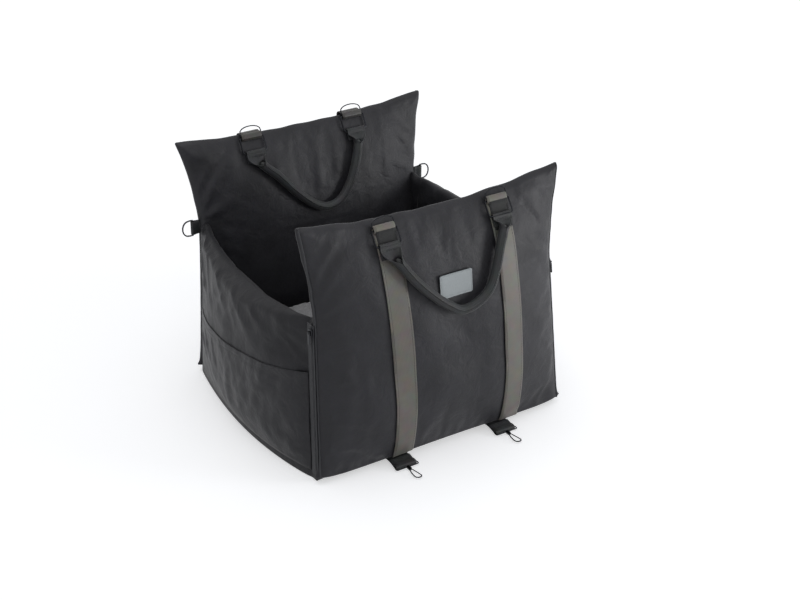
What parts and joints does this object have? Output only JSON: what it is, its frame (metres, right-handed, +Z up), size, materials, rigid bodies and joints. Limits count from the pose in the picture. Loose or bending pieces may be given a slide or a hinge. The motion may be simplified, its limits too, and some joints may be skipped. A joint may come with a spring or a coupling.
{
  "type": "dog car seat",
  "caption": "Soft tote-shaped dog car seat: padded panels and walls, plush cushion, webbing straps with buckles and carry handles, zips, side pockets and tether hooks.",
  "frame": {"origin": "middle of the base pad's underside, on the ground", "axes": "+X to the right along the front panel as seen from the front, +Y from the front panel to the rear panel, +Z up"},
  "size_m": [0.5924, 0.5818, 0.458],
  "materials": {
    "shell_fabric": "woven charcoal polyester, padded, soft sheen",
    "pocket_fabric": "woven charcoal polyester, single layer",
    "base_fabric": "plain dark woven cloth",
    "base_board": "pressed dark board",
    "plush": "short grey plush pile",
    "grey_webbing": "ribbed olive-grey webbing",
    "black_webbing": "ribbed black webbing",
    "grey_patch": "smooth pale grey patch, stitched",
    "zip_tape": "woven zip tape with coil",
    "gunmetal": "gunmetal plated wire, satin"
  },
  "bodies": {
    "base": {"base_pad": "base_fabric", "base_board": "base_board", "left_wall": "shell_fabric", "right_wall": "shell_fabric", "left_pocket": "pocket_fabric", "right_pocket": "pocket_fabric", "rear_panel": "shell_fabric", "rear_strap_left": "grey_webbing", "rear_strap_right": "grey_webbing", "side_zip_tape_left": "zip_tape", "side_zip_tape_right": "zip_tape", "corner_tab_left": "black_webbing", "corner_tab_right": "black_webbing", "tether_strap_left": "black_webbing", "tether_strap_right": "black_webbing"},
    "front": {"front_panel": "shell_fabric", "label": "grey_patch", "front_strap_left": "grey_webbing", "front_strap_right": "grey_webbing", "front_zip_tape_left": "zip_tape", "front_zip_tape_right": "zip_tape"},
    "seat_cushion": {"cushion": "plush"},
    "front_buckles": {"front_buckle_left": "gunmetal", "front_buckle_right": "gunmetal"},
    "front_grip": {"front_handle": "black_webbing"},
    "rear_buckles": {"rear_buckle_left": "gunmetal", "rear_buckle_right": "gunmetal"},
    "rear_grip": {"rear_handle": "black_webbing"},
    "front_strap_ring_left_body": {"front_strap_ring_left": "gunmetal"},
    "front_strap_ring_right_body": {"front_strap_ring_right": "gunmetal"},
    "rear_strap_ring_left_body": {"rear_strap_ring_left": "gunmetal"},
    "rear_strap_ring_right_body": {"rear_strap_ring_right": "gunmetal"},
    "corner_ring_left_body": {"corner_ring_left": "gunmetal"},
    "corner_ring_right_body": {"corner_ring_right": "gunmetal"},
    "hook_frame_left_body": {"hook_frame_left": "gunmetal"},
    "hook_frame_right_body": {"hook_frame_right": "gunmetal"},
    "snap_hook_left_body": {"snap_hook_left": "gunmetal"},
    "snap_hook_right_body": {"snap_hook_right": "gunmetal"},
    "hook_gate_left_body": {"hook_gate_left": "gunmetal"},
    "hook_gate_right_body": {"hook_gate_right": "gunmetal"},
    "zip_slider_left_body": {"zip_slider_left": "gunmetal"},
    "zip_slider_right_body": {"zip_slider_right": "gunmetal"},
    "zip_puller_left_body": {"zip_puller_left": "gunmetal"},
    "zip_puller_right_body": {"zip_puller_right": "gunmetal"}
  },
  "joints": [
    {"name": "front_panel_fold", "type": "hinge", "parent": "base", "child": "front", "pos_m": [0, -0.2393, 0.005], "axis": [1, 0, 0], "range_deg": [0, 60]},
    {"name": "cushion_lift", "type": "slide", "parent": "base", "child": "seat_cushion", "axis": [0, 0, 1], "range_m": [0, 0.15]},
    {"name": "front_buckle_swing", "type": "hinge", "parent": "front", "child": "front_buckles", "pos_m": [0, -0.19568, 0.42576], "axis": [-1, 0, 0], "range_deg": [0, 100]},
    {"name": "front_handle_swing", "type": "hinge", "parent": "front_buckles", "child": "front_grip", "pos_m": [0, -0.21179, 0.40323], "axis": [-1, 0, 0], "range_deg": [0, 40]},
    {"name": "rear_buckle_swing", "type": "hinge", "parent": "base", "child": "rear_buckles", "pos_m": [0, 0.24306, 0.43522], "axis": [-1, 0, 0], "range_deg": [0, 100]},
    {"name": "rear_handle_swing", "type": "hinge", "parent": "rear_buckles", "child": "rear_grip", "pos_m": [0, 0.22964, 0.41099], "axis": [-1, 0, 0], "range_deg": [0, 40]},
    {"name": "front_strap_ring_left_tip", "type": "hinge", "parent": "front", "child": "front_strap_ring_left_body", "pos_m": [-0.105, -0.19366, 0.42944], "axis": [1, 0, 0], "range_deg": [0, 105]},
    {"name": "rear_strap_ring_left_tip", "type": "hinge", "parent": "base", "child": "rear_strap_ring_left_body", "pos_m": [-0.113, 0.24504, 0.43892], "axis": [1, 0, 0], "range_deg": [0, 120]},
    {"name": "corner_ring_left_turn", "type": "hinge", "parent": "base", "child": "corner_ring_left_body", "pos_m": [-0.24497, 0.23134, 0.291], "axis": [0, 0, 1], "range_deg": [-75, 75]},
    {"name": "hook_frame_left_lift", "type": "hinge", "parent": "base", "child": "hook_frame_left_body", "pos_m": [-0.099, -0.2573, 0.0042], "axis": [-1, 0, 0], "range_deg": [0, 18]},
    {"name": "snap_hook_left_swivel", "type": "hinge", "parent": "hook_frame_left_body", "child": "snap_hook_left_body", "pos_m": [-0.099, -0.2672, 0.0042], "axis": [0, -1, 0], "continuous": true},
    {"name": "hook_gate_left_press", "type": "hinge", "parent": "snap_hook_left_body", "child": "hook_gate_left_body", "pos_m": [-0.0972, -0.27409, 0.0042], "axis": [0, 0, -1], "range_deg": [0, 20], "stiffness_Nm_per_rad": 0.0005, "springref_deg": -17.19},
    {"name": "zip_slider_left_run", "type": "slide", "parent": "base", "child": "zip_slider_left_body", "axis": [-0.0442, -0.0998, -0.994], "range_m": [0, 0.245]},
    {"name": "zip_puller_left_flip", "type": "hinge", "parent": "zip_slider_left_body", "child": "zip_puller_left_body", "pos_m": [-0.24486, -0.19032, 0.27288], "axis": [-0.0044, 0.995, -0.0997], "range_deg": [0, 170]},
    {"name": "front_strap_ring_right_tip", "type": "hinge", "parent": "front", "child": "front_strap_ring_right_body", "pos_m": [0.117, -0.19366, 0.42944], "axis": [1, 0, 0], "range_deg": [0, 105]},
    {"name": "rear_strap_ring_right_tip", "type": "hinge", "parent": "base", "child": "rear_strap_ring_right_body", "pos_m": [0.098, 0.24504, 0.43892], "axis": [1, 0, 0], "range_deg": [0, 120]},
    {"name": "corner_ring_right_turn", "type": "hinge", "parent": "base", "child": "corner_ring_right_body", "pos_m": [0.24497, 0.23134, 0.291], "axis": [0, 0, 1], "range_deg": [-75, 75]},
    {"name": "hook_frame_right_lift", "type": "hinge", "parent": "base", "child": "hook_frame_right_body", "pos_m": [0.109, -0.2573, 0.0042], "axis": [-1, 0, 0], "range_deg": [0, 18]},
    {"name": "snap_hook_right_swivel", "type": "hinge", "parent": "hook_frame_right_body", "child": "snap_hook_right_body", "pos_m": [0.109, -0.2672, 0.0042], "axis": [0, -1, 0], "continuous": true},
    {"name": "hook_gate_right_press", "type": "hinge", "parent": "snap_hook_right_body", "child": "hook_gate_right_body", "pos_m": [0.1108, -0.27409, 0.0042], "axis": [0, 0, -1], "range_deg": [0, 20], "stiffness_Nm_per_rad": 0.0005, "springref_deg": -17.19},
    {"name": "zip_slider_right_run", "type": "slide", "parent": "base", "child": "zip_slider_right_body", "axis": [0.0442, -0.0998, -0.994], "range_m": [0, 0.245]},
    {"name": "zip_puller_right_flip", "type": "hinge", "parent": "zip_slider_right_body", "child": "zip_puller_right_body", "pos_m": [0.24486, -0.19032, 0.27288], "axis": [-0.0044, -0.995, 0.0997], "range_deg": [0, 170]}
  ]
}
